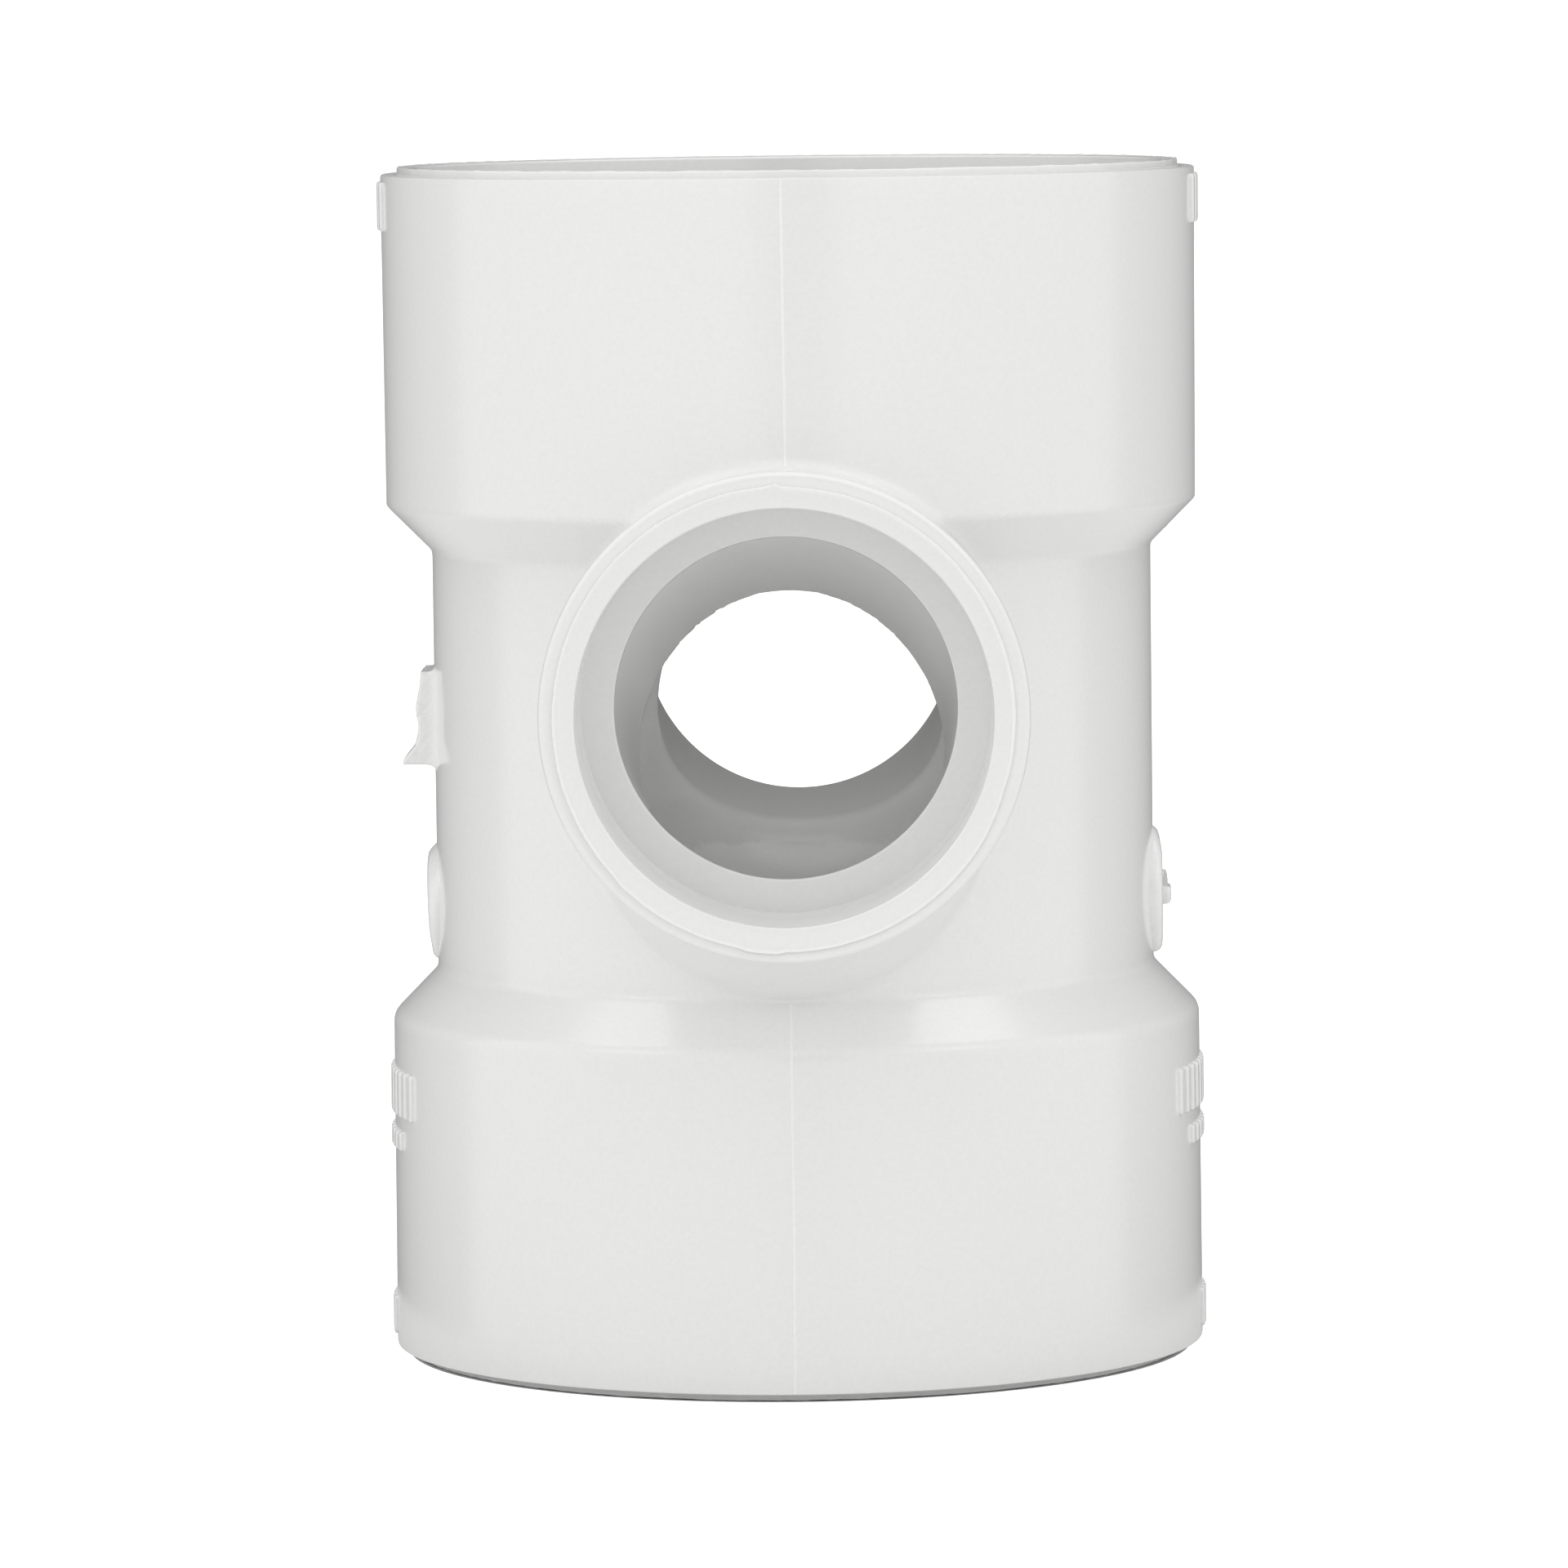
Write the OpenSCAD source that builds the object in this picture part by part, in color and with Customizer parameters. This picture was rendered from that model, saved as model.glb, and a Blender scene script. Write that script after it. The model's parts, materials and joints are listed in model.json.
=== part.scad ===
// Reducing double sanitary tee for solvent-weld drain pipe: a 4 in vertical run with two
// opposed 2 in side branches that turn down into it, and a socket on each of the four ends.
// The fitting is one plastic moulding. Each node is one region of it, and regions meet face to face.
// +Z is up along the run, the front branch points along -Y, and the origin is on the run's axis
// at the lowest face. Millimetres.

/* [Run] */
// Height from the lower rim face to the upper rim face
run_height = 183.3; // [183:0.1:188]
// Radius of each run socket, where the 4 in pipe is cemented
run_socket_r = 57.2; // [57:0.05:57.5]
// Depth of each run socket, from the rim face to the pipe stop
run_socket_depth = 44.45; // [43:0.05:45]
// Radius of the waterway between the two pipe stops
run_bore_r = 50.4; // [49.5:0.1:51.5]
// Outer radius of the barrel between the run hubs
barrel_r = 55.4; // [54.8:0.1:56.2]
// Outer radius of a run hub at its rim
run_hub_rim_r = 62.55; // [62.1:0.05:63]
// Outer radius of a run hub at its inner end
run_hub_root_r = 62.35; // [61.9:0.05:62.5]

/* [Shoulders] */
// Height of the lower hub's outer corner
low_corner_z = 52.5; // [51:0.1:53.5]
// Height where the lower flare meets the barrel
low_neck_z = 59.6; // [58.5:0.1:60]
// Rounding of the lower hub's outer corner
low_corner_round = 2.5; // [1:0.5:5]
// Height where the upper flare meets the barrel
high_neck_z = 124.2; // [123.5:0.1:125]
// Height of the upper hub's outer corner
high_corner_z = 131.2; // [131:0.1:133]
// Rounding of the upper hub's outer corner
high_corner_round = 0.8; // [0.3:0.1:1.5]
// Rounding in the corner between a flare and the barrel
neck_round = 2; // [1:0.5:3]

/* [Branches] */
// Height of both branches' common axis
branch_z = 105; // [104.5:0.1:105.5]
// Distance from the run's axis to a branch's rim face
branch_reach = 96.7; // [95:0.1:100]
// Radius of each branch socket, where the 2 in pipe is cemented
branch_socket_r = 30.2; // [30.05:0.05:30.3]
// Depth of each branch socket, from the rim face to the pipe stop
branch_socket_depth = 19.05; // [18.5:0.05:20]
// Outer radius of a branch hub at its rim
branch_hub_r = 35.6; // [35:0.1:36]
// Reduction of the branch hub's radius for each millimetre towards the run
branch_draft = 0.045; // [0.03:0.005:0.05]
// Radius of the branch waterway at the pipe stop
branch_bore_r = 25.13; // [24.5:0.01:25.5]

/* [Swept passage] */
// Downward slope of the passage
passage_tilt = 18; // [16:0.5:19]
// Radius of the passage
passage_r = 23.3; // [22.5:0.1:23.6]
// Slope of the funnel wall that leads from the pipe stop into the passage
funnel_slope = 20; // [19:0.5:22]
// Length of that funnel
funnel_length = 18; // [16:0.5:20]
// Distance from the run's axis where the swept bulge leaves the branch
sweep_reach = 75; // [74:0.5:76]
// Downward slope of the swept bulge
sweep_tilt = 30; // [28:0.5:32]
// Outer radius of the swept bulge
sweep_r = 29.5; // [29:0.1:30]

/* [Rims] */
// Height of the raised ring on each run end face
run_rim_height = 1.2; // [0.8:0.1:1.5]
// Outer radius of the raised ring on each run end face
run_rim_r = 59.9; // [59:0.1:61]
// Height of the raised ring on each branch end face
branch_rim_height = 0.6; // [0.3:0.1:1]
// Outer radius of the raised ring on each branch end face
branch_rim_r = 33.3; // [32.5:0.1:34]
// Bevel at the mouth of each socket
mouth_bevel = 0.3; // [0.2:0.05:0.5]

/* [Moulding details] */
// Height that the marks stand out of the run hubs
mark_relief = 0.6; // [0.3:0.1:0.8]
// Width of each raised bar in a row of marks
mark_width = 2; // [1:0.1:2.4]
// Distance from one bar to the next in a row of marks
mark_pitch = 3.3; // [2.8:0.1:4]
// Height that the parting line stands out of the surface
seam_relief = 0.15; // [0.1:0.05:0.3]
// Width of the parting line
seam_width = 0.4; // [0.3:0.1:0.8]
// Distance from the run's axis to the flat face of a side pad
pad_reach = 56.75; // [56.6:0.05:57.5]
// Diameter of a side pad
pad_diameter = 19.8; // [16:0.2:20]
// Length of the gate stub around the barrel
gate_length = 15; // [8:1:30]
// Distance from the run's axis to the hooked lower lip of the gate stub
gate_reach = 60.3; // [59.5:0.1:61.5]

/* [Hidden] */
$fn = 96;
pvc = "white";
arc_steps = 6;
cut = 1;
eps = 0.01;

low_stop_z = run_socket_depth;
high_stop_z = run_height - run_socket_depth;
low_ledge_z = run_rim_height;
high_ledge_z = run_height - run_rim_height;
branch_stop_reach = branch_reach - branch_socket_depth;
branch_ledge_reach = branch_reach - branch_rim_height;
wide = 4 * run_hub_rim_r;

// The passage's and the bulge's tubes run from beyond the pipe stop to inside the run's own walls
passage_lead = 10;
passage_length = (branch_stop_reach - 0.8 * run_bore_r) / cos(passage_tilt);
sweep_length = (sweep_reach - 0.6 * barrel_r) / cos(sweep_tilt);

pad_z = branch_z - 34.6;
nub_z = branch_z - 34.4;
gate_top_z = branch_z + 0.7;
gate_underside_z = branch_z - 13.8;

// Rows of marks on a hub, as [lower edge, upper edge, number of bars], from the branch axis
top_mark_rows = [[68.5, 76, 7]];
bottom_mark_rows = [[-67.4, -60.2, 14], [-72.6, -69.6, 10], [-102, -96, 5]];

// Points of a rounded corner at b, on the way from a to c
function unit(v) = v / norm(v);
function direction(v) = atan2(v.y, v.x);
function turn(from, to) = (to - from + 540) % 360 - 180;
function rounded(a, b, c, r) =
    let (u = unit(a - b))
    let (w = unit(c - b))
    let (half = acos(u * w) / 2)
    let (centre = b + unit(u + w) * r / sin(half))
    let (start = direction(b + u * r / tan(half) - centre))
    let (sweep = turn(start, direction(b + w * r / tan(half) - centre)))
    [for (i = [0:arc_steps]) centre + r * [
        cos(start + sweep * i / arc_steps),
        sin(start + sweep * i / arc_steps)
    ]];

// Outline of the run's outside, as [radius, height] from the lower end to the upper
low_rim_point = [run_hub_rim_r, low_ledge_z];
low_corner = [run_hub_root_r, low_corner_z];
low_neck = [barrel_r, low_neck_z];
high_neck = [barrel_r, high_neck_z];
high_corner = [run_hub_root_r, high_corner_z];
high_rim_point = [run_hub_rim_r, high_ledge_z];
low_flare = concat(
    rounded(low_rim_point, low_corner, low_neck, low_corner_round),
    rounded(low_corner, low_neck, high_neck, neck_round));
high_flare = concat(
    rounded(low_neck, high_neck, high_corner, neck_round),
    rounded(high_neck, high_corner, high_rim_point, high_corner_round));
barrel_low_z = low_flare[len(low_flare) - 1].y;
barrel_high_z = high_flare[0].y;

// Outside radius of the tapered hub walls at a height, and of a branch at a distance from the run
function low_hub_r(z) = low_corner.x
    + (low_rim_point.x - low_corner.x) * (low_corner.y - z) / (low_corner.y - low_rim_point.y);
function high_hub_r(z) = high_corner.x
    + (high_rim_point.x - high_corner.x) * (z - high_corner.y) / (high_rim_point.y - high_corner.y);
function branch_r(reach) = branch_hub_r - branch_draft * (branch_reach - reach);

// Places its children on the front branch: their +Z points out of the mouth and their +Y up
module on_front_branch() {
    translate([0, 0, branch_z])
        rotate([90, 0, 0])
            children();
}

module to_rear() {
    mirror([0, 1, 0])
        children();
}

// The filled outside of the run, which the branches and the raised details are trimmed to
module run_envelope() {
    rotate_extrude()
        polygon(concat(
            [[0, 0], [run_hub_rim_r, 0]],
            low_flare,
            high_flare,
            [[run_hub_rim_r, run_height], [0, run_height]]));
}

// The filled outside of a branch, inward from its pipe stop
module branch_envelope() {
    cylinder(h = branch_stop_reach, r1 = branch_r(0), r2 = branch_r(branch_stop_reach));
}

// The waterway from a branch's pipe stop down into the run
module passage() {
    translate([0, 0, branch_stop_reach - funnel_length])
        cylinder(
            h = funnel_length + eps,
            r1 = branch_bore_r - funnel_length * tan(funnel_slope),
            r2 = branch_bore_r + eps * tan(funnel_slope));
    translate([0, 0, branch_stop_reach])
        rotate([180 - passage_tilt, 0, 0])
            translate([0, 0, -passage_lead])
                cylinder(h = passage_lead + passage_length, r = passage_r);
}

// A ring of the run's wall, from its outline as [radius, height]
module run_wall(outline) {
    color(pvc)
        rotate_extrude()
            polygon(outline);
}

module run_barrel() {
    color(pvc)
        difference() {
            translate([0, 0, barrel_low_z])
                cylinder(h = barrel_high_z - barrel_low_z, r = barrel_r);
            translate([0, 0, barrel_low_z - cut])
                cylinder(h = barrel_high_z - barrel_low_z + 2 * cut, r = run_bore_r);
            on_front_branch()
                passage();
            to_rear()
                on_front_branch()
                    passage();
        }
}

module top_shoulder() {
    run_wall(concat(
        [[run_bore_r, barrel_high_z]],
        high_flare,
        [[high_hub_r(high_stop_z), high_stop_z], [run_bore_r, high_stop_z]]));
}

module top_hub() {
    run_wall([
        [run_socket_r, high_stop_z],
        [high_hub_r(high_stop_z), high_stop_z],
        high_rim_point,
        [run_socket_r, high_ledge_z]
    ]);
}

module bottom_shoulder() {
    run_wall(concat(
        [[run_bore_r, low_stop_z], [low_hub_r(low_stop_z), low_stop_z]],
        low_flare,
        [[run_bore_r, barrel_low_z]]));
}

module bottom_hub() {
    run_wall([
        [run_socket_r, low_ledge_z],
        low_rim_point,
        [low_hub_r(low_stop_z), low_stop_z],
        [run_socket_r, low_stop_z]
    ]);
}

// The raised ring around a socket's mouth, which is at z = 0 here with the ring above it
module rim_ring(socket_r, ring_r, height) {
    color(pvc)
        rotate_extrude()
            polygon([
                [socket_r, 0],
                [ring_r, 0],
                [ring_r, height],
                [socket_r + mouth_bevel, height],
                [socket_r, height - mouth_bevel]
            ]);
}

module top_rim() {
    translate([0, 0, high_ledge_z])
        rim_ring(run_socket_r, run_rim_r, run_rim_height);
}

module bottom_rim() {
    translate([0, 0, low_ledge_z])
        mirror([0, 0, 1])
            rim_ring(run_socket_r, run_rim_r, run_rim_height);
}

module front_neck() {
    color(pvc)
        difference() {
            on_front_branch()
                branch_envelope();
            on_front_branch()
                passage();
            run_envelope();
        }
}

module front_sweep() {
    color(pvc)
        difference() {
            on_front_branch()
                intersection() {
                    translate([0, 0, sweep_reach])
                        rotate([180 - sweep_tilt, 0, 0])
                            cylinder(h = sweep_length, r = sweep_r);
                    translate([-wide / 2, -wide, 0])
                        cube([wide, wide, branch_stop_reach - cut]);
                }
            on_front_branch()
                branch_envelope();
            on_front_branch()
                passage();
            run_envelope();
        }
}

module front_hub() {
    depth = branch_ledge_reach - branch_stop_reach;
    color(pvc)
        on_front_branch()
            translate([0, 0, branch_stop_reach])
                difference() {
                    cylinder(h = depth, r1 = branch_r(branch_stop_reach), r2 = branch_r(branch_ledge_reach));
                    translate([0, 0, -cut])
                        cylinder(h = depth + 2 * cut, r = branch_socket_r);
                }
}

module front_rim() {
    on_front_branch()
        translate([0, 0, branch_ledge_reach])
            rim_ring(branch_socket_r, branch_rim_r, branch_rim_height);
}

module rear_neck() {
    to_rear()
        front_neck();
}

module rear_sweep() {
    to_rear()
        front_sweep();
}

module rear_hub() {
    to_rear()
        front_hub();
}

module rear_rim() {
    to_rear()
        front_rim();
}

// The torn-off injection gate, a tab with a flat underside and a hooked lower lip
module gate_stub() {
    color(pvc)
        difference() {
            translate([0, gate_length / 2, 0])
                rotate([90, 0, 0])
                    linear_extrude(height = gate_length)
                        polygon([
                            [-run_bore_r, gate_top_z],
                            [-gate_reach + 3, gate_top_z],
                            [-gate_reach + 2.3, gate_underside_z + 8.6],
                            [-gate_reach + 2.4, gate_underside_z + 4.7],
                            [-gate_reach + 1.7, gate_underside_z + 2.7],
                            [-gate_reach, gate_underside_z + 0.6],
                            [-gate_reach + 0.2, gate_underside_z],
                            [-run_bore_r, gate_underside_z]
                        ]);
            run_envelope();
        }
}

// A low round pad with a flat face, below the branch axis on the +X side
module right_pad() {
    color(pvc)
        difference() {
            translate([run_bore_r, 0, pad_z])
                rotate([0, 90, 0])
                    cylinder(h = pad_reach - run_bore_r, d = pad_diameter);
            run_envelope();
        }
}

module left_pad() {
    mirror([1, 0, 0])
        right_pad();
}

// The vestige on the right pad: a low round boss with a smaller one on it
module pad_nub() {
    color(pvc)
        translate([pad_reach, 0, nub_z])
            rotate([0, 90, 0]) {
                cylinder(h = 0.8, r = 2.7);
                cylinder(h = 1.45, r = 2.1);
            }
}

// A row of raised bars around the +X side of a run hub
module mark_row(row) {
    low_z = branch_z + row[0];
    row_height = row[1] - row[0];
    bars = row[2];
    step = mark_pitch / run_hub_rim_r * 180 / PI;
    difference() {
        intersection() {
            translate([0, 0, low_z])
                cylinder(h = row_height, r = run_hub_rim_r + mark_relief);
            for (i = [0:bars - 1])
                rotate([0, 0, (i - (bars - 1) / 2) * step])
                    translate([run_bore_r, -mark_width / 2, low_z])
                        cube([run_bore_r, mark_width, row_height]);
        }
        run_envelope();
    }
}

module both_sides() {
    children();
    mirror([1, 0, 0])
        children();
}

module top_marks() {
    color(pvc)
        both_sides()
            for (row = top_mark_rows)
                mark_row(row);
}

module bottom_marks() {
    color(pvc)
        both_sides()
            for (row = bottom_mark_rows)
                mark_row(row);
}

// The parting line down the front of the run, above and below the branch
module front_seam() {
    color(pvc)
        difference() {
            intersection() {
                rotate_extrude()
                    polygon(concat(
                        [[run_bore_r, low_ledge_z]],
                        [for (p = concat([low_rim_point], low_flare, high_flare, [high_rim_point]))
                            p + [seam_relief, 0]],
                        [[run_bore_r, high_ledge_z]]));
                translate([-seam_width / 2, -wide, low_ledge_z])
                    cube([seam_width, wide, high_ledge_z - low_ledge_z]);
            }
            run_envelope();
            on_front_branch()
                branch_envelope();
            front_sweep();
        }
}

module rear_seam() {
    to_rear()
        front_seam();
}

run_barrel();
top_shoulder();
top_hub();
top_rim();
bottom_shoulder();
bottom_hub();
bottom_rim();
front_neck();
front_sweep();
front_hub();
front_rim();
rear_neck();
rear_sweep();
rear_hub();
rear_rim();
gate_stub();
left_pad();
right_pad();
pad_nub();
top_marks();
bottom_marks();
front_seam();
rear_seam();
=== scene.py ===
"""The visual model of a white PVC double sanitary tee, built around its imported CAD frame.

The fitting is one moulding. Its run walls and branch roots are meshed from one implicit solid, so that
the fillets, the swept bulges and the turned-down passages flow into each other. Its sockets are turned
from outlines, and its small raised details have fields or ribs of their own. Lengths are metres in the
fitting's own frame.
"""
import json
import math

import bpy
import numpy as np
from mathutils import Matrix, Vector


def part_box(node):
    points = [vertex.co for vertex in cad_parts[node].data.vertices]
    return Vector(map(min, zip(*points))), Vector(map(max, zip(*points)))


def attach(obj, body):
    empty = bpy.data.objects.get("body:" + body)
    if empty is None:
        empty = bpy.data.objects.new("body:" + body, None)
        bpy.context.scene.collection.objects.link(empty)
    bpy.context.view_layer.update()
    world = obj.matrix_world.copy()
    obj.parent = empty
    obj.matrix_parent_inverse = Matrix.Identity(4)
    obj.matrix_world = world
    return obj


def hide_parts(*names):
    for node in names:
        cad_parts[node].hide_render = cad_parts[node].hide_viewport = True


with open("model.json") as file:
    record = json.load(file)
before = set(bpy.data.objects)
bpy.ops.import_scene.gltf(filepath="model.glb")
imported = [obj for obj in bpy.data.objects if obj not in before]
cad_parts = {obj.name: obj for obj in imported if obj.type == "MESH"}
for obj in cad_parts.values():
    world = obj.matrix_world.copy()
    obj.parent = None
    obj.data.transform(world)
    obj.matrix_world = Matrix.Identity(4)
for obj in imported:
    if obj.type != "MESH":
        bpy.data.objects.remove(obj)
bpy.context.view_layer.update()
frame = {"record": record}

MM = 0.001
DEG = math.pi / 180

# ---------------------------------------------------------------- sizes, read from the frame
mounts = {m["name"]: m for m in frame["record"]["mounts"]}
BRANCH_Z = mounts["front_socket"]["pos_m"][2]
RUN_SOCKET_R = mounts["top_socket"]["dims"]["r_mm"] * MM
BRANCH_SOCKET_R = mounts["front_socket"]["dims"]["r_mm"] * MM
RUN_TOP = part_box("top_rim")[1].z
TOP_LEDGE_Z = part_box("top_hub")[1].z
TOP_STOP_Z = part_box("top_hub")[0].z
LOW_STOP_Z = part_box("bottom_hub")[1].z
LOW_LEDGE_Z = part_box("bottom_hub")[0].z
RUN_HUB_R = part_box("top_hub")[1].x
RUN_RIM_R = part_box("top_rim")[1].x
BARREL_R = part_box("run_barrel")[1].x
BRANCH_REACH = -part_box("front_rim")[0].y
BRANCH_LEDGE = -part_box("front_hub")[0].y
BRANCH_STOP = -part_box("front_hub")[1].y
BRANCH_HUB_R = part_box("front_hub")[1].x
BRANCH_RIM_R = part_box("front_rim")[1].x

# Sizes that the frame's boxes don't state
RUN_HUB_ROOT_R = 62.35 * MM
RUN_BORE_R = 50.4 * MM
LOW_CORNER_Z = 52.5 * MM
LOW_NECK_Z = 59.6 * MM
HIGH_NECK_Z = 124.2 * MM
HIGH_CORNER_Z = 131.2 * MM
BRANCH_BORE_R = 25.13 * MM
BRANCH_DRAFT = 0.045
SOCKET_TAPER = 0.11 * MM      # a branch socket is this much wider at its mouth, and tighter at its stop
RUN_SOCKET_TAPER = 0.2 * MM
PASSAGE_FALL = 0.298          # of the waterway's middle, for each unit of way towards the run
PASSAGE_NARROWING = 0.076
FRONT_DRIFT, REAR_DRIFT = 0.012, 0.0216   # sideways, from core pins that sat slightly off
SWEEP_R = 29.5 * MM           # the swept bulge under a branch: its radius,
SWEEP_REACH = 75 * MM         # where its axis leaves the branch's,
SWEEP_TILT = 30 * DEG         # and how steeply it falls
LIP_DEPTH = 1 * MM            # the straight start of a branch's waterway behind its pipe stop

LIP_CUT = BRANCH_STOP - LIP_DEPTH

# Fillets: heights above the branch axis, and how wide the surfaces blend there
ROOT_FILLET_HEIGHTS, ROOT_FILLETS = (-40 * MM, 0), (1.2 * MM, 2.4 * MM)
PASSAGE_EDGE_HEIGHTS = (-32 * MM, -24 * MM, -14 * MM, 10 * MM)
PASSAGE_EDGES = (14 * MM, 7 * MM, 1.6 * MM, 0.7 * MM)
STOP_EDGE = 0.6 * MM

CELL = 0.8 * MM               # grid of the implicit meshes
SEGMENTS = 288                # around each turned socket
SHARP_ANGLE = 32 * DEG        # edges of turned pieces above this angle stay crisp
FAR = 9.0                     # stands for no cut


# ---------------------------------------------------------------- outlines
def arc(a, b, c, radius, steps=6):
    """Points of the rounded corner at b, on the way from a to c."""
    a, b, c = (np.array(p, float) for p in (a, b, c))
    u, w = (a - b) / np.linalg.norm(a - b), (c - b) / np.linalg.norm(c - b)
    half = math.acos(float(np.clip(u @ w, -1, 1))) / 2
    centre = b + (u + w) / np.linalg.norm(u + w) * radius / math.sin(half)
    first, last = b + u * radius / math.tan(half) - centre, b + w * radius / math.tan(half) - centre
    start = math.atan2(first[1], first[0])
    sweep = (math.atan2(last[1], last[0]) - start + 3 * math.pi) % (2 * math.pi) - math.pi
    turns = start + sweep * np.linspace(0, 1, steps + 1)
    return [tuple(centre + radius * np.array((math.cos(t), math.sin(t)))) for t in turns]


RUN_OUTSIDE = np.array(
    [(RUN_HUB_R, LOW_LEDGE_Z)]
    + arc((RUN_HUB_R, LOW_LEDGE_Z), (RUN_HUB_ROOT_R, LOW_CORNER_Z), (BARREL_R, LOW_NECK_Z), 2.6 * MM, 12)
    + arc((RUN_HUB_ROOT_R, LOW_CORNER_Z), (BARREL_R, LOW_NECK_Z), (BARREL_R, HIGH_NECK_Z), 2 * MM)
    + arc((BARREL_R, LOW_NECK_Z), (BARREL_R, HIGH_NECK_Z), (RUN_HUB_ROOT_R, HIGH_CORNER_Z), 1.5 * MM)
    + arc((BARREL_R, HIGH_NECK_Z), (RUN_HUB_ROOT_R, HIGH_CORNER_Z), (RUN_HUB_R, TOP_LEDGE_Z), 0.8 * MM)
    + [(RUN_HUB_R, TOP_LEDGE_Z)]
)


def run_outside_r(z):
    return np.interp(z, RUN_OUTSIDE[:, 1], RUN_OUTSIDE[:, 0])


def branch_outside_r(reach):
    return BRANCH_HUB_R - BRANCH_DRAFT * (BRANCH_LEDGE - reach)


def branch_socket_r(reach):
    along = (reach - BRANCH_STOP) / (BRANCH_REACH - BRANCH_STOP)
    return BRANCH_SOCKET_R + SOCKET_TAPER * (2 * along - 1)


def run_socket_r(z):
    depth = np.where(z > BRANCH_Z, (z - TOP_STOP_Z) / (RUN_TOP - TOP_STOP_Z), 1 - z / LOW_STOP_Z)
    return RUN_SOCKET_R + RUN_SOCKET_TAPER * (2 * depth - 1)


# ---------------------------------------------------------------- fields, below zero inside the plastic
def join(a, b, blend):
    """The smooth union of two fields, with a fillet about as wide as blend."""
    h = np.maximum(blend - np.abs(a - b), 0) / blend
    return np.minimum(a, b) - h * h * blend / 4


def meet(a, b, blend):
    """The smooth intersection of two fields."""
    return -join(-a, -b, blend)


def tilted_tube(x, reach, up, pivot, tilt, radius):
    """A tube whose axis falls from the branch axis at pivot towards the run."""
    across = (pivot - reach) * math.sin(tilt) + up * math.cos(tilt)
    return np.sqrt(x * x + across * across) - radius


def passage_field(x, reach, up, rho, drift):
    """The waterway from a branch's pipe stop into the run: it narrows a little, and turns down."""
    behind = np.maximum(LIP_CUT - reach, 0)
    fallen = np.hypot(x - drift * behind, up + PASSAGE_FALL * behind)
    inner = np.maximum(fallen - BRANCH_BORE_R + PASSAGE_NARROWING * behind, reach - BRANCH_STOP)
    return np.minimum(inner, np.maximum(rho - branch_socket_r(reach), BRANCH_STOP - reach))


def outer_field(x, y, z):
    """The solid as if it had no waterways."""
    reach, up = np.abs(y), z - BRANCH_Z
    r, rho = np.sqrt(x * x + y * y), np.sqrt(x * x + up * up)
    bulge = tilted_tube(x, reach, up, SWEEP_REACH, SWEEP_TILT, SWEEP_R)
    bulge = np.maximum(bulge, np.maximum(up, reach - BRANCH_STOP))
    root_blend = np.clip(0.5 * (LIP_CUT - reach), 0.05 * MM, 4 * MM)
    branch = join(rho - branch_outside_r(reach), bulge, root_blend)
    return join(r - run_outside_r(z), branch, np.interp(up, ROOT_FILLET_HEIGHTS, ROOT_FILLETS))


def body_field(x, y, z):
    """The whole moulding without its small raised details."""
    reach, up = np.abs(y), z - BRANCH_Z
    r, rho = np.sqrt(x * x + y * y), np.sqrt(x * x + up * up)
    sockets = meet(r - run_socket_r(z), TOP_STOP_Z - z, STOP_EDGE)
    sockets = np.minimum(sockets, np.maximum(r - run_socket_r(z), z - LOW_STOP_Z))
    bore = join(r - RUN_BORE_R, sockets, STOP_EDGE)
    drift = np.where(y < 0, FRONT_DRIFT, REAR_DRIFT)
    edge = np.interp(up, PASSAGE_EDGE_HEIGHTS, PASSAGE_EDGES)
    inside = join(bore, passage_field(x, reach, up, rho, drift), edge)
    return np.maximum(outer_field(x, y, z), -inside)


def ragged(a, b, wave, height):
    """A small uneven wave over two directions, for torn and flashed edges."""
    a, b = a / wave, b / wave
    return height * (np.sin(2.1 * a + 1.3 * np.sin(1.7 * b)) + np.sin(4.7 * b + 2.2 * np.sin(2.9 * a + 1))
                     + 0.6 * np.sin(9.1 * a + 7.3 * b)) / 2.6


def within(u, v, outline):
    """Signed distance to a closed polygon of (u, v) corners."""
    corners = np.array(outline)
    distance, inside = np.full(np.shape(u), 1.0), np.zeros(np.shape(u), bool)
    for (au, av), (bu, bv) in zip(corners, np.roll(corners, -1, 0)):
        t = np.clip(((u - au) * (bu - au) + (v - av) * (bv - av)) / ((bu - au) ** 2 + (bv - av) ** 2), 0, 1)
        distance = np.minimum(distance, np.hypot(u - au - t * (bu - au), v - av - t * (bv - av)))
        crosses = (av > v) != (bv > v)
        inside ^= crosses & (u < au + (v - av) * (bu - au) / (bv - av if bv != av else 1))
    return np.where(inside, -distance, distance)


# ---------------------------------------------------------------- meshing a field
def gradient(field, points, step=0.02 * MM):
    found = np.empty_like(points)
    for axis in range(3):
        ahead, behind = points.copy(), points.copy()
        ahead[:, axis] += step
        behind[:, axis] -= step
        found[:, axis] = (field(*ahead.T) - field(*behind.T)) / (2 * step)
    return found


def settle(field, points, cell):
    """Moves points onto the field's zero surface, by at most one cell."""
    slope = gradient(field, points)
    size = np.maximum((slope * slope).sum(1), 0.25)
    move = field(*points.T)[:, None] * slope / size[:, None]
    far = np.linalg.norm(move, axis=1, keepdims=True)
    return points - move * np.minimum(1, cell / np.maximum(far, 1e-12))


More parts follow.
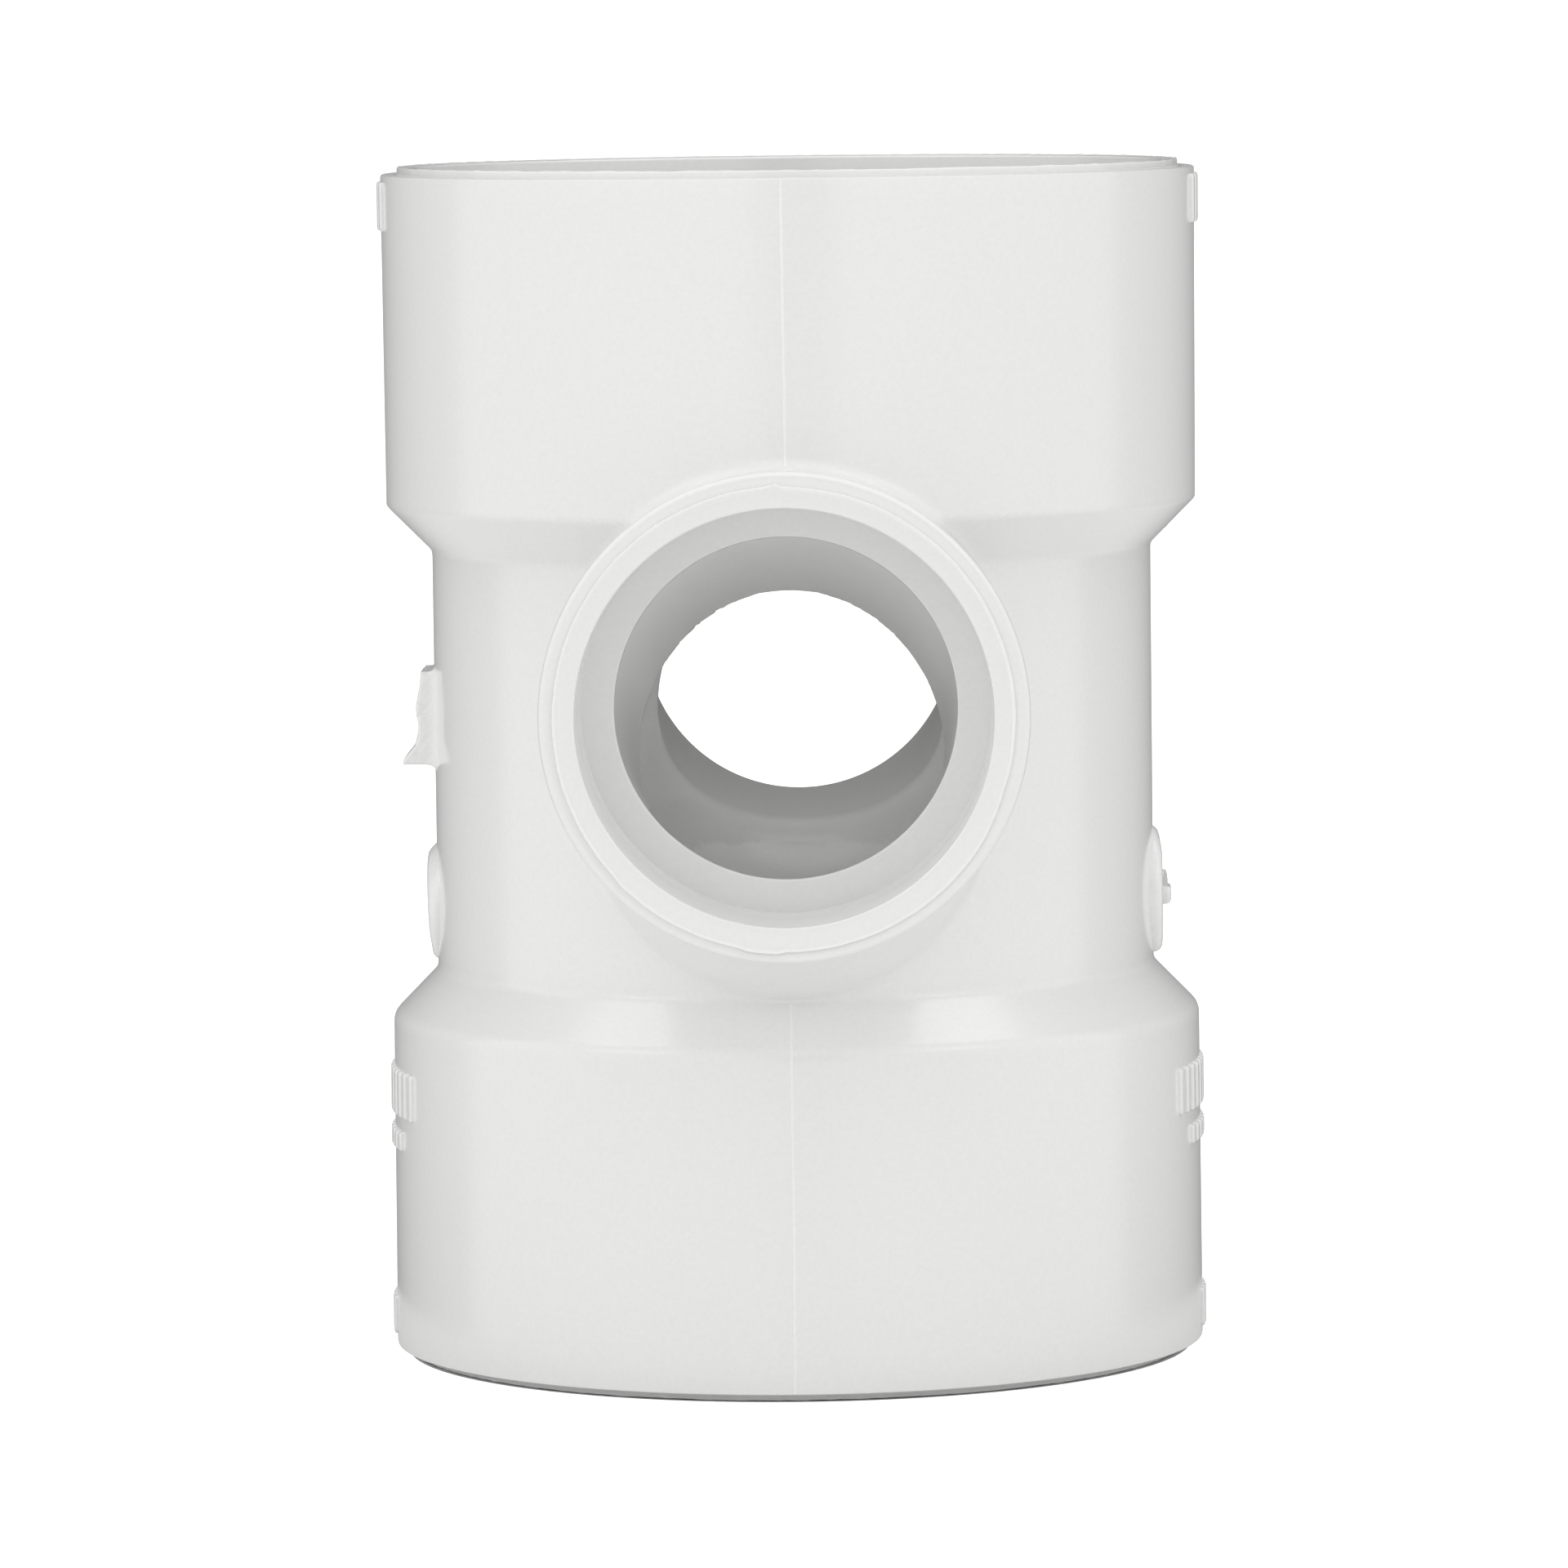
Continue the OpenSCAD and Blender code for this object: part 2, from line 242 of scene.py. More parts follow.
def surface_nets(field, low, high, planes, cell):
    """A closed quad mesh of the field inside a box, cut flat at planes of (axis, place, side kept)."""
    low = np.array(low) - 2.5 * cell
    counts = np.ceil((np.array(high) + 2.5 * cell - low) / cell).astype(int) + 1
    ticks = [low[a] + cell * np.arange(counts[a]) for a in range(3)]
    solid = np.stack([field(np.full((counts[1], counts[2]), x), ticks[1][:, None], ticks[2][None, :])
                      for x in ticks[0]])
    values = solid
    for axis, place, side in planes:
        shape = [1, 1, 1]
        shape[axis] = -1
        values = np.maximum(values, ((ticks[axis] - place) * side).reshape(shape))
    corners = [(i, j, k) for i in (0, 1) for j in (0, 1) for k in (0, 1)]

    def corner(grid, c):
        return grid[tuple(slice(o, grid.shape[a] - 1 + o) for a, o in enumerate(c))]

    inside = values < 0
    held = sum(corner(inside, c).astype(np.int8) for c in corners)
    mixed = (held > 0) & (held < 8)
    cells = np.argwhere(mixed)
    number = np.full(mixed.shape, -1, np.int64)
    number[mixed] = np.arange(len(cells))
    total, weight = np.zeros((len(cells), 3)), np.zeros(len(cells))
    for c in corners:
        for axis in range(3):
            if c[axis]:
                continue
            d = list(c)
            d[axis] = 1
            va, vb = corner(values, c)[mixed], corner(values, tuple(d))[mixed]
            crossing = (va < 0) != (vb < 0)
            place = np.tile(np.array(c, float), (len(cells), 1))
            place[:, axis] += np.where(crossing, va / np.where(crossing, va - vb, 1), 0)
            total += place * crossing[:, None]
            weight += crossing
    points = low + cell * (cells + total / weight[:, None])

    skin = [corner(solid < 0, c)[mixed] for c in corners]
    on_skin = np.any(skin, axis=0) & ~np.all(skin, axis=0)
    for _ in range(4):
        points[on_skin] = settle(field, points[on_skin], cell)
        for axis, place, _side in planes:
            start = low[axis] + cell * cells[:, axis]
            points[(start <= place) & (place < start + cell), axis] = place

    quads = []
    for axis in range(3):
        u, v = (axis + 1) % 3, (axis + 2) % 3
        first = [slice(1, -1)] * 3
        first[axis] = slice(0, -1)
        second = list(first)
        second[axis] = slice(1, None)
        a, b = inside[tuple(first)], inside[tuple(second)]
        at = np.argwhere(a != b) + 1
        at[:, axis] -= 1
        ring = []
        for du, dv in ((0, 0), (1, 0), (1, 1), (0, 1)):
            near = at.copy()
            near[:, u] -= du
            near[:, v] -= dv
            ring.append(number[tuple(near.T)])
        ring = np.stack(ring, 1)
        outward = a[a != b]
        ring[~outward] = ring[~outward][:, ::-1]
        quads.append(ring)
    normals = gradient(field, points)
    normals /= np.maximum(np.linalg.norm(normals, axis=1, keepdims=True), 1e-12)
    return points, np.concatenate(quads), normals


# ---------------------------------------------------------------- making pieces
def make_piece(name, points, quads, nodes, normals=None, painted_light_faces=None):
    """A mesh object that rides on the fitting's one body and stands for CAD nodes."""
    a, b, c, d = (points[quads[:, i]] for i in range(4))
    if (np.cross(c - a, d - b) * (a + b + c + d)).sum() < 0:
        quads = quads[:, ::-1].copy()
    mesh = bpy.data.meshes.new(name)
    mesh.vertices.add(len(points))
    mesh.vertices.foreach_set("co", np.asarray(points, np.float32).ravel())
    mesh.loops.add(quads.size)
    mesh.loops.foreach_set("vertex_index", quads.astype(np.int32).ravel())
    mesh.polygons.add(len(quads))
    mesh.polygons.foreach_set("loop_start", np.arange(0, quads.size, 4, dtype=np.int32))
    mesh.polygons.foreach_set("use_smooth", np.ones(len(quads), bool))
    mesh.update(calc_edges=True)
    if normals is not None:
        mesh.normals_split_custom_set_from_vertices(normals)
    else:
        mesh.set_sharp_from_angle(angle=SHARP_ANGLE)
    # Two slots: the plain PVC, and a paler copy that paints the bright line of light along flash edges. The
    # face mask picks the faces that take the paler one.
    mesh.materials.append(pvc)
    mesh.materials.append(flash_painted_light_pvc)
    if painted_light_faces is not None:
        mesh.polygons.foreach_set("material_index", painted_light_faces.astype(np.int32))
    piece = bpy.data.objects.new(name, mesh)
    bpy.context.scene.collection.objects.link(piece)
    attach(piece, "root")
    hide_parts(*nodes)
    return piece


def grown(name, parts, nodes, cell):
    """One piece from parts of (field, low corner, high corner), for the small raised details."""
    points, quads, normals, count = [], [], [], 0
    for field, low, high in parts:
        p, q, n = surface_nets(field, low, high, [], cell)
        points.append(p)
        quads.append(q + count)
        normals.append(n)
        count += len(p)
    return make_piece(name, np.concatenate(points), np.concatenate(quads), nodes, np.concatenate(normals))


def turned(name, outline, place, nodes, flash):
    """A piece turned from a closed outline of (radius, height). Each may vary with the angle.

    flash is the first and last point of the outline's flash. Its faces take the paler PVC, painted light that
    stands for the bright line along the flash."""
    angle = np.arange(SEGMENTS) / SEGMENTS * 2 * math.pi
    rings = [place(np.broadcast_to(r, angle.shape), np.broadcast_to(h, angle.shape), angle)
             for r, h in outline]
    i, j = np.arange(len(rings))[:, None], np.arange(SEGMENTS)[None, :]
    up, on = (i + 1) % len(rings), (j + 1) % SEGMENTS
    corners = (i * SEGMENTS + j, i * SEGMENTS + on, up * SEGMENTS + on, up * SEGMENTS + j)
    quads = np.stack([np.broadcast_to(c, (len(rings), SEGMENTS)) for c in corners], -1).reshape(-1, 4)
    # Painted light: the flash's faces take the paler PVC, for the bright line along it
    painted_light_faces = np.repeat([flash[0] <= i < flash[1] for i in range(len(rings))], SEGMENTS)
    return make_piece(name, np.concatenate(rings), quads, nodes, painted_light_faces=painted_light_faces)


def on_run(r, h, angle):
    return np.stack([r * np.cos(angle), r * np.sin(angle), h], -1)


def on_branch(side):
    """Places (radius, reach, angle) on one side's branch. Angles run clockwise from its top."""
    def place(r, h, angle):
        return np.stack([r * np.sin(angle), side * h, BRANCH_Z + r * np.cos(angle)], -1)
    return place


# ---------------------------------------------------------------- materials
def node_tree(material):
    material.use_nodes = True
    tree = material.node_tree
    tree.nodes.clear()
    return tree


# Noise scales, in cells per metre
FLOW_SCALE, SPECK_SCALE, GLOSS_SCALE, WAVE_SCALE, GRAIN_SCALE = 26, 1500, 45, 24, 2200
SPECK = 0.035                 # how far the speckle lifts and lowers the colour
YELLOWING = 0.004             # how far blue falls behind red and green
PVC_IOR = 1.53


def pvc_material(name, dark, pale):
    """Rigid white PVC: near-neutral, satin, with faint flow clouding and a fine moulded grain."""
    material = bpy.data.materials.new(name)
    tree = node_tree(material)
    new, link = tree.nodes.new, tree.links.new
    out, shader = new("ShaderNodeOutputMaterial"), new("ShaderNodeBsdfPrincipled")
    link(shader.outputs["BSDF"], out.inputs["Surface"])
    place = new("ShaderNodeTexCoord")

    def noise(scale, detail, stretch=(1, 1, 1)):
        mapping, texture = new("ShaderNodeMapping"), new("ShaderNodeTexNoise")
        mapping.inputs["Scale"].default_value = stretch
        texture.inputs["Scale"].default_value = scale
        texture.inputs["Detail"].default_value = detail
        link(place.outputs["Object"], mapping.inputs["Vector"])
        link(mapping.outputs["Vector"], texture.inputs["Vector"])
        return texture.outputs["Fac"]

    def span(value, low, high):
        ramp = new("ShaderNodeMapRange")
        ramp.clamp = False
        ramp.inputs["To Min"].default_value = low
        ramp.inputs["To Max"].default_value = high
        link(value, ramp.inputs["Value"])
        return ramp.outputs["Result"]

    def mixed(factor, low, high):
        mix = new("ShaderNodeMix")
        mix.data_type = "RGBA"
        mix.inputs["A"].default_value = (low, low, low - YELLOWING, 1)
        mix.inputs["B"].default_value = (high, high, high - YELLOWING, 1)
        link(factor, mix.inputs["Factor"])
        return mix.outputs["Result"]

    flow = mixed(noise(FLOW_SCALE, 5, (1, 1, 0.4)), dark, pale)
    speck = mixed(noise(SPECK_SCALE, 2), 1 - SPECK, 1 + SPECK)
    tint = new("ShaderNodeMix")
    tint.data_type, tint.blend_type = "RGBA", "MULTIPLY"
    tint.inputs["Factor"].default_value = 1
    link(flow, tint.inputs["A"])
    link(speck, tint.inputs["B"])
    link(tint.outputs["Result"], shader.inputs["Base Color"])
    link(span(noise(GLOSS_SCALE, 4), 0.15, 0.22), shader.inputs["Roughness"])
    shader.inputs["IOR"].default_value = PVC_IOR

    grain, waves = new("ShaderNodeBump"), new("ShaderNodeBump")
    grain.inputs["Distance"].default_value = 0.02 * MM
    grain.inputs["Strength"].default_value = 0.3
    waves.inputs["Distance"].default_value = 0.2 * MM
    waves.inputs["Strength"].default_value = 0.15
    link(noise(GRAIN_SCALE, 2), grain.inputs["Height"])
    link(noise(WAVE_SCALE, 0, (1, 1, 0.5)), waves.inputs["Height"])
    link(waves.outputs["Normal"], grain.inputs["Normal"])
    link(grain.outputs["Normal"], shader.inputs["Normal"])
    return material


pvc = pvc_material("white_pvc", 0.855, 0.88)
flash_painted_light_pvc = pvc_material("white_pvc_flash", 0.905, 0.925)   # painted light: paler than the plain PVC, to stand in for the bright line that light makes along the flash's fine edge


# ---------------------------------------------------------------- the run's walls and the branch roots
def cut_body(name, low, high, nodes):
    """The part of the solid between two corners, as a closed piece. FAR stands for no cut."""
    planes = [(axis, low[axis], -1) for axis in range(3) if low[axis] > -FAR]
    planes += [(axis, high[axis], 1) for axis in range(3) if high[axis] < FAR]
    side = RUN_HUB_R + 2 * CELL
    box_low, box_high = (-side, *low[1:]), (side, *high[1:])
    points, quads, normals = surface_nets(body_field, box_low, box_high, planes, CELL)
    make_piece(name, points, quads, nodes, normals)


ROOT_CUT = 64 * MM            # distance from the run's axis where the branch roots part from the run
LOW_CUT = LOW_STOP_Z + LIP_DEPTH
HIGH_CUT = 144 * MM           # above the fillets between the branches and the upper hub
BARREL_LOW = LOW_NECK_Z + 3.8 * MM
BARREL_HIGH = HIGH_NECK_Z + 2.3 * MM   # clear of the waterways' ceilings
ROOT_LOW, ROOT_HIGH = BRANCH_Z - 44 * MM, BRANCH_Z + 38 * MM

cut_body("barrel_wall", (-FAR, -ROOT_CUT, BARREL_LOW), (FAR, ROOT_CUT, BARREL_HIGH), ["run_barrel"])
cut_body("upper_shoulder", (-FAR, -ROOT_CUT, BARREL_HIGH), (FAR, ROOT_CUT, HIGH_CUT), ["top_shoulder"])
cut_body("lower_shoulder", (-FAR, -ROOT_CUT, LOW_CUT), (FAR, ROOT_CUT, BARREL_LOW), ["bottom_shoulder"])
cut_body("front_root", (-FAR, -LIP_CUT, ROOT_LOW), (FAR, -ROOT_CUT, ROOT_HIGH),
         ["front_neck", "front_sweep"])
cut_body("rear_root", (-FAR, ROOT_CUT, ROOT_LOW), (FAR, LIP_CUT, ROOT_HIGH),
         ["rear_neck", "rear_sweep"])


# ---------------------------------------------------------------- the sockets
def ramp(angle, places, heights):
    """A value that varies around a rim, given at angles in degrees from 0 to 360."""
    return np.interp(np.degrees(angle), places, heights)


def branch_socket(name, side, nodes):
    """A branch socket with its pipe stop, a raised ring with flash on its edge, and the ledge outside."""
    angle = np.arange(SEGMENTS) / SEGMENTS * 2 * math.pi
    turn = angle if side < 0 else (angle + math.pi / 2) % (2 * math.pi)
    wobble = ragged(turn * 9, turn * 4, 1, 0.05 * MM)
    ring_r = BRANCH_RIM_R + wobble + MM * ramp(
        turn, (0, 3, 110, 125, 180, 182, 190, 192, 225, 228, 300, 355, 360),
        (0.1, 0, 0, 0.45, 0.5, 0.8, 0.8, 0.5, 0.5, 0.25, 0.05, 0.1, 0.7))
    flash = MM * ramp(turn, (0, 90, 125, 224, 228, 360), (0.12, 0.1, 0, 0, 0.16, 0.16))
    groove = MM * ramp(turn, (0, 75, 100, 178, 181, 190, 193, 360),
                       (0.02, 0.03, 0.08, 0.08, 0.15, 0.15, 0.03, 0.02))
    face, brow = BRANCH_REACH - 0.01 * MM, BRANCH_REACH - 0.25 * MM
    ledge = BRANCH_LEDGE + 0.5 * wobble
    out = BRANCH_HUB_R
    outline = [(BRANCH_BORE_R, LIP_CUT)]
    outline += arc((BRANCH_BORE_R, LIP_CUT), (BRANCH_BORE_R, BRANCH_STOP),
                   (branch_socket_r(BRANCH_STOP), BRANCH_STOP), 0.35 * MM, 5)
    outline += arc((BRANCH_BORE_R, BRANCH_STOP), (branch_socket_r(BRANCH_STOP), BRANCH_STOP),
                   (branch_socket_r(BRANCH_REACH), BRANCH_REACH), 0.15 * MM, 3)
    outline += [(branch_socket_r(BRANCH_REACH - d), BRANCH_REACH - d) for d in np.array((12, 6, 1.5)) * MM]
    outline += arc((branch_socket_r(BRANCH_STOP), BRANCH_STOP), (branch_socket_r(face), face),
                   (ring_r.mean(), face), 0.35 * MM, 5)
    first = len(outline) + 1
    outline += [
        (ring_r - 0.7 * MM, brow + 0.06 * MM),
        (ring_r - 0.35 * MM, brow + 0.35 * flash),
        (ring_r - 0.2 * MM, brow + 0.85 * flash),
        (ring_r - 0.08 * MM, brow + flash),
        (ring_r + 0.02 * MM, brow + 0.8 * flash),
        (ring_r + 0.08 * MM, brow - 0.08 * MM),
        (ring_r + 0.12 * MM, ledge - groove),
        (ring_r + 0.3 * MM, ledge - groove),
        (ring_r + 0.5 * MM, ledge - 0.02 * MM),
        (np.maximum(ring_r + 0.9 * MM, out - 1.1 * MM), ledge + 0.02 * MM),
        (out - 0.75 * MM, ledge + 0.03 * MM),
        (out - 0.5 * MM, ledge - 0.02 * MM),
        (out - 0.25 * MM, ledge - 0.15 * MM),
        (out - 0.08 * MM, ledge - 0.38 * MM),
        (out, ledge - 0.7 * MM),
    ]
    outline += [(branch_outside_r(BRANCH_LEDGE - d), BRANCH_LEDGE - d)
                for d in np.array((1, 4, 9, 14)) * MM]
    outline += [(branch_outside_r(LIP_CUT), LIP_CUT)]
    turned(name, outline, on_branch(side), nodes, (first, first + 4))


def run_socket(name, top, nodes):
    """A run socket: heights below are counted from its mouth, and placed from the top or the bottom."""
    angle = np.arange(SEGMENTS) / SEGMENTS * 2 * math.pi
    mouth, down = (RUN_TOP, -1) if top else (0.0, 1)
    ledge_h = abs(mouth - (TOP_LEDGE_Z if top else LOW_LEDGE_Z))
    uneven = np.abs(ragged(angle * 14, angle * 5, 1, 0.16 * MM))
    ring_r = RUN_RIM_R + ragged(angle * 6, angle * 11, 1, 0.08 * MM)
    flash = 0.1 * MM + uneven
    bare = 0.28 * MM

    def at(r, depth):
        return (r, mouth + down * depth)

    def inner(depth):
        return run_socket_r(mouth + down * depth)

    def outer(depth):
        return run_outside_r(mouth + down * depth)

    end = (RUN_TOP - HIGH_CUT) if top else LOW_CUT
    if top:
        outline = [at(inner(end), end)]
    else:
        stop = LOW_STOP_Z
        outline = [at(RUN_BORE_R, end)]
        outline += [at(r, d) for r, d in arc((RUN_BORE_R, end), (RUN_BORE_R, stop),
                                             (inner(stop), stop), 0.4 * MM)]
        outline += [at(r, d) for r, d in arc((RUN_BORE_R, stop), (inner(stop), stop),
                                             (inner(0), 0), 0.6 * MM)]
    outline += [at(inner(d), d) for d in np.array((24, 12, 4)) * MM]
    outline += [at(r, d) for r, d in arc((inner(9 * MM), 9 * MM), (inner(bare), bare),
                                         (RUN_RIM_R, bare), 0.4 * MM)]
    first = len(outline) + 1
    outline += [
        at(ring_r - 0.8 * MM, bare),
        at(ring_r - 0.35 * MM, bare - 0.4 * flash),
        at(ring_r - 0.12 * MM, bare - flash),
        at(ring_r, bare - 0.8 * flash),
        at(ring_r + 0.06 * MM, bare + 0.15 * MM),
        at(ring_r + 0.08 * MM, ledge_h + 0.25 * MM),
        at(ring_r + 0.4 * MM, ledge_h + 0.3 * MM),
        at(ring_r + 0.7 * MM, ledge_h + 0.03 * MM),
        at(RUN_HUB_R - 0.8 * MM, ledge_h),
        at(RUN_HUB_R - 0.3 * MM, ledge_h + 0.04 * MM),
        at(RUN_HUB_R - 0.06 * MM, ledge_h + 0.2 * MM),
        at(RUN_HUB_R, ledge_h + 0.5 * MM),
    ]
    outline += [at(outer(d), d) for d in np.array((5, 12, 20, 28)) * MM]
    outline += [at(outer(end), end)]
    turned(name, outline, on_run, nodes, (first, first + 3))


branch_socket("front_socket", -1, ["front_hub", "front_rim"])
branch_socket("rear_socket", 1, ["rear_hub", "rear_rim"])
run_socket("upper_socket", True, ["top_hub", "top_rim"])
run_socket("lower_socket", False, ["bottom_hub", "bottom_rim"])


# ---------------------------------------------------------------- the small raised details
DETAIL = 0.3 * MM             # grid of the small details
SUNK = 0.8 * MM               # how far they reach into the wall below them
stub_low, stub_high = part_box("gate_stub")
STUB_TOP, STUB_BASE, STUB_REACH = stub_high.z, stub_low.z, -stub_low.x
STUB_HEIGHT, STUB_FACE, STUB_HEEL = STUB_TOP - STUB_BASE, STUB_REACH / MM, BARREL_R / MM - 5
STUB_PROFILE = [               # (distance from the run's axis, height above the underside) in mm
    (STUB_HEEL, STUB_HEIGHT / MM), (STUB_FACE - 3.1, STUB_HEIGHT / MM),
    (STUB_FACE - 2.9, 12.1), (STUB_FACE - 2.5, 10.8), (STUB_FACE - 2.25, 9.1), (STUB_FACE - 2.3, 8.1),
    (STUB_FACE - 2.55, 6.4), (STUB_FACE - 2.4, 4.7), (STUB_FACE - 1.9, 3), (STUB_FACE - 0.7, 1.5),
    (STUB_FACE - 0.1, 0.65), (STUB_FACE - 0.2, 0), (STUB_HEEL, 0),
]
TEAR_LINES = (7.7 * MM, 9.4 * MM)   # heights above the underside
TEAR_DEPTH, TEAR_WIDTH = 0.16 * MM, 0.25 * MM
STUB_FILLET = 1.4 * MM
BURIED = 0.06 * MM            # a detail's skirt lies this far under the barrel's surface


def stub_field(x, y, z):
    """The torn gate: a tab with a hooked lower lip and uneven broken faces, filleted into the barrel."""
    r = np.sqrt(x * x + y * y)
    u, v = -x, z - STUB_BASE
    free = np.clip((u - BARREL_R) / (1.5 * MM), 0, 1)
    tear = ragged(y + 0.4 * z, z, 2.4 * MM, 0.03 * MM) + 0.06 * MM
    tear = tear + ragged(y, z + 0.5 * y, 4.3 * MM, 0.1 * MM)
    shape = within(u, v, np.array(STUB_PROFILE) * MM) + tear * free
    ends = np.abs(y) - stub_high.y + 0.25 * MM + ragged(u, z, 1.9 * MM, 0.07 * MM)
    for height in TEAR_LINES:
        ends = ends + TEAR_DEPTH * np.exp(-((v - height) / TEAR_WIDTH) ** 2) * free
    solid = join(meet(shape, ends, 0.5 * MM), r - BARREL_R + BURIED, STUB_FILLET)
    around = np.maximum(np.abs(y) - stub_high.y, np.maximum(STUB_BASE - z, z - STUB_TOP)) - STUB_FILLET
    return np.maximum(np.maximum(solid, around), BARREL_R - SUNK - r)


MARGIN = Vector((MM, MM, MM))
grown("torn_gate", [(stub_field, stub_low - 2 * MARGIN, stub_high + 2 * MARGIN)], ["gate_stub"], DETAIL)


PAD_FACES = {                  # by side: heights, and the face's distance from the run's axis there, in mm
    -1: ((63, 66, 77), (56.2, 56.45, 56.8)),
    1: ((62, 76.6, 80.3), (56.75, 56.7, 56.15)),
}
PAD_EDGE = 1.6 * MM
PAD_BEVEL = 3 * MM            # the left pad's bevel is a cone,
PAD_BEVEL_DROP = 2 * MM       # whose axis lies this much lower than the pad's, so that it cuts only the top


def pad_field(side, node):
    """A low round pad with a slightly tilted face and a soft edge. The left one is bevelled at the top."""
    low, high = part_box(node)
    middle_z, pad_r = (low.z + high.z) / 2, (high.z - low.z) / 2
    places, reaches = PAD_FACES[side]

    def field(x, y, z):
        around = np.hypot(y, z - middle_z) - pad_r + 0.04 * MM * np.sin(y / (2.3 * MM) + 1)
        top = side * x - MM * np.interp(z / MM, places, reaches) + ragged(y, z, 5 * MM, 0.02 * MM)
        solid = meet(around, top, PAD_EDGE)
        if side < 0:
            cone = np.hypot(y, z - middle_z + PAD_BEVEL_DROP) + top - pad_r - PAD_BEVEL_DROP + PAD_BEVEL
            solid = meet(solid, cone / math.sqrt(2), 0.6 * MM)
        return np.maximum(solid, BARREL_R - SUNK - np.sqrt(x * x + y * y))
    return field, low, high


for side, name, node in ((-1, "left_side_pad", "left_pad"), (1, "right_side_pad", "right_pad")):
    field, low, high = pad_field(side, node)
    grown(name, [(field, low - MARGIN, high + MARGIN)], [node], DETAIL)

nub_low, nub_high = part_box("pad_nub")
NUB_SLOPE = 0.2               # of the broken upper half, rising towards the rear


def nub_field(x, y, z):
    """The vestige on the right pad: a round boss whose upper half broke off down to a slope."""
    middle, wide = (nub_low.z + nub_high.z) / 2, (nub_high.z - nub_low.z) / 2
    rho = np.hypot(y, z - middle)
    boss = meet(rho - wide, x - nub_high.x + 0.06 * MM + ragged(y, z, 1 * MM, 0.04 * MM), 0.9 * MM)
    slope = x - nub_low.x - NUB_SLOPE * (y + wide)
    kept = join(z - middle - 0.25 * MM, slope, 0.2 * MM)
    return np.maximum(meet(boss, kept, 0.15 * MM), nub_low.x - 0.5 * MM - x)


grown("pad_vestige", [(nub_field, nub_low - MARGIN, nub_high + MARGIN)], ["pad_nub"], 0.2 * MM)

MARK_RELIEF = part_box("top_marks")[1].x - RUN_HUB_R
MARK_WIDTH, MARK_PITCH = 2 * MM, 3.3 * MM
# Rows of (lowest height, highest height, bars), with heights counted from the branch axis
TOP_ROWS = [(68.5 * MM, 76 * MM, 7)]
BOTTOM_ROWS = [(-67.4 * MM, -60.2 * MM, 14), (-72.6 * MM, -69.6 * MM, 10), (-102 * MM, -96 * MM, 5)]


def mark_row(low, high, count):
    """The field and the two boxes of one row of plain raised bars with soft tops, on a run hub's sides."""
    low, high = BRANCH_Z + low, BRANCH_Z + high
    offset = 0.5 if count % 2 == 0 else 0.0

    def field(x, y, z):
        r = np.sqrt(x * x + y * y)
        along = np.arctan2(y, np.abs(x)) * RUN_HUB_R
        bar = np.clip(np.round(along / MARK_PITCH - offset), -(count // 2), (count - 1) // 2) + offset
        plan = meet(np.abs(along - bar * MARK_PITCH) - MARK_WIDTH / 2,
                    np.abs(z - (low + high) / 2) - (high - low) / 2, 0.8 * MM)
        wall = run_outside_r(z)
        return np.maximum(meet(plan, r - wall - MARK_RELIEF, 0.5 * MM), wall - SUNK - r)

    half_turn = (count * MARK_PITCH / 2 + MM) / RUN_HUB_R
    inner, outer = RUN_HUB_R * math.cos(half_turn) - 2 * MM, RUN_HUB_R + MARK_RELIEF + MM
    wide = RUN_HUB_R * math.sin(half_turn)
    return [(field, (start, -wide, low - MM), (end, wide, high + MM))
            for start, end in ((inner, outer), (-outer, -inner))]


for name, rows, node in (("upper_mark_bars", TOP_ROWS, "top_marks"),
                         ("lower_mark_bars", BOTTOM_ROWS, "bottom_marks")):
    grown(name, [part for row in rows for part in mark_row(*row)], [node], DETAIL)

SEAM_RELIEF, SEAM_WIDTH = 0.07 * MM, 0.46 * MM
SEAM_BREAK = (66 * MM, 138 * MM)   # heights between which the branch interrupts the seam
SEAM_RINGS = 160


def seam_ribs(name, side, node):
    """The fine parting line up the middle of the run, below and above the branch."""
    across = np.array((-0.5, -0.3, -0.1, 0.1, 0.3, 0.5, 0.4, 0.15, -0.15, -0.4))
    raised = np.array((-0.2, 0.7, 1, 1, 0.7, -0.2, -2.5, -2.5, -2.5, -2.5))
    cap = np.array([(0, 1, 2, 9), (2, 3, 8, 9), (3, 4, 7, 8), (4, 5, 6, 7)])
    spans = ((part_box(node)[0].z + 0.3 * MM, SEAM_BREAK[0]), (SEAM_BREAK[1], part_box(node)[1].z - 0.3 * MM))
    points, quads, count = [], [], 0
    for start, end in spans:
        height = np.linspace(start, end, SEAM_RINGS)
        wall = np.array([settle(outer_field, np.array([[0, side * run_outside_r(h), h]]), MM)[0]
                         for h in height])
        sway = 0.12 * MM * np.sin(height / (17 * MM)) + ragged(height, 0 * height, 2 * MM, 0.03 * MM)
        rings = np.repeat(wall[:, None, :], len(across), 1)
        rings[:, :, 0] = across * SEAM_WIDTH + sway[:, None]
        rings[:, :, 1] += side * raised * SEAM_RELIEF
        n = len(across)
        i, j = np.arange(len(height) - 1)[:, None], np.arange(n)[None, :]
        on = (j + 1) % n
        corners = (i * n + j, i * n + on, (i + 1) * n + on, (i + 1) * n + j)
        sides = np.stack([np.broadcast_to(c, (len(height) - 1, n)) for c in corners], -1).reshape(-1, 4)
        points.append(rings.reshape(-1, 3))
        quads += [sides + count, cap[:, ::-1] + count, cap + (len(height) - 1) * n + count]
        count += rings.size // 3
    quads = np.concatenate(quads)
    # Painted light: the whole parting line takes the paler PVC, for the bright line along it
    make_piece(name, np.concatenate(points), quads, [node], painted_light_faces=np.ones(len(quads)))


